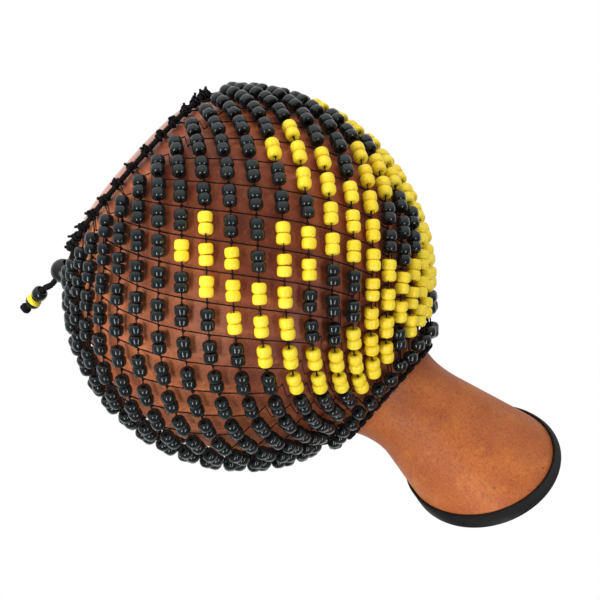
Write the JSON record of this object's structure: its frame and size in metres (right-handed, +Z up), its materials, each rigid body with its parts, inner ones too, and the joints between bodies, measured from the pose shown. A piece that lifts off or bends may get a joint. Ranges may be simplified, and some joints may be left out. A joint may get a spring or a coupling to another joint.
{
  "type": "shekere",
  "caption": "Hollow gourd-shaped rattle with a slanted rubber-edged mouth, a loose net of black and yellow beads, and a draw cord with a ball toggle.",
  "frame": {"origin": "centre of the flat face under the base", "axes": "+Z up the neck's axis from the base to the mouth; -Y is the side that the picture shows; +X is the side to which the belly bulges and where the net hangs slack"},
  "size_m": [0.2148, 0.2026, 0.2889],
  "materials": {
    "shell_lacquer": "satin",
    "trim_rubber": "satin",
    "bead_black": "gloss",
    "bead_yellow": "gloss",
    "toggle": "gloss",
    "net_thread": "waxed",
    "cord": "braided"
  },
  "bodies": {
    "gourd": {"shell": "shell_lacquer", "mouth_trim": "trim_rubber"},
    "net": {"beaded_threads": "net_thread", "bare_threads": "net_thread", "neck_cord": "cord", "neck_hitches": "net_thread", "draw_cord": "cord", "draw_hitches": "net_thread", "draw_tail_left": "cord", "draw_tail_right": "cord", "end_knot": "cord", "black_beads_01": "bead_black", "black_beads_02": "bead_black", "black_beads_03": "bead_black", "black_beads_04": "bead_black", "black_beads_05": "bead_black", "black_beads_06": "bead_black", "black_beads_07": "bead_black", "black_beads_08": "bead_black", "black_beads_09": "bead_black", "black_beads_10": "bead_black", "black_beads_11": "bead_black", "black_beads_12": "bead_black", "black_beads_13": "bead_black", "black_beads_14": "bead_black", "black_beads_15": "bead_black", "black_beads_16": "bead_black", "black_beads_17": "bead_black", "yellow_beads_05": "bead_yellow", "yellow_beads_06": "bead_yellow", "yellow_beads_07": "bead_yellow", "yellow_beads_08": "bead_yellow", "yellow_beads_09": "bead_yellow", "yellow_beads_10": "bead_yellow", "yellow_beads_11": "bead_yellow", "yellow_beads_12": "bead_yellow", "yellow_beads_13": "bead_yellow", "yellow_beads_14": "bead_yellow", "yellow_beads_15": "bead_yellow", "yellow_beads_16": "bead_yellow"},
    "toggle": {"toggle_ball": "toggle"},
    "tail_band": {"tail_bead_black": "bead_black", "tail_bead_yellow": "bead_yellow"}
  },
  "joints": [
    {"name": "net_turn", "type": "hinge", "parent": "gourd", "child": "net", "pos_m": [0, 0, 0.0875], "axis": [0, 0, 1], "range_deg": [-5, 5]},
    {"name": "toggle_slide", "type": "slide", "parent": "net", "child": "toggle", "axis": [0.8308, 0.5565, 0], "range_m": [-0.002, 0.006]},
    {"name": "band_slide", "type": "slide", "parent": "net", "child": "tail_band", "axis": [0.8308, 0.5565, 0], "range_m": [-0.0015, 0.001]}
  ]
}
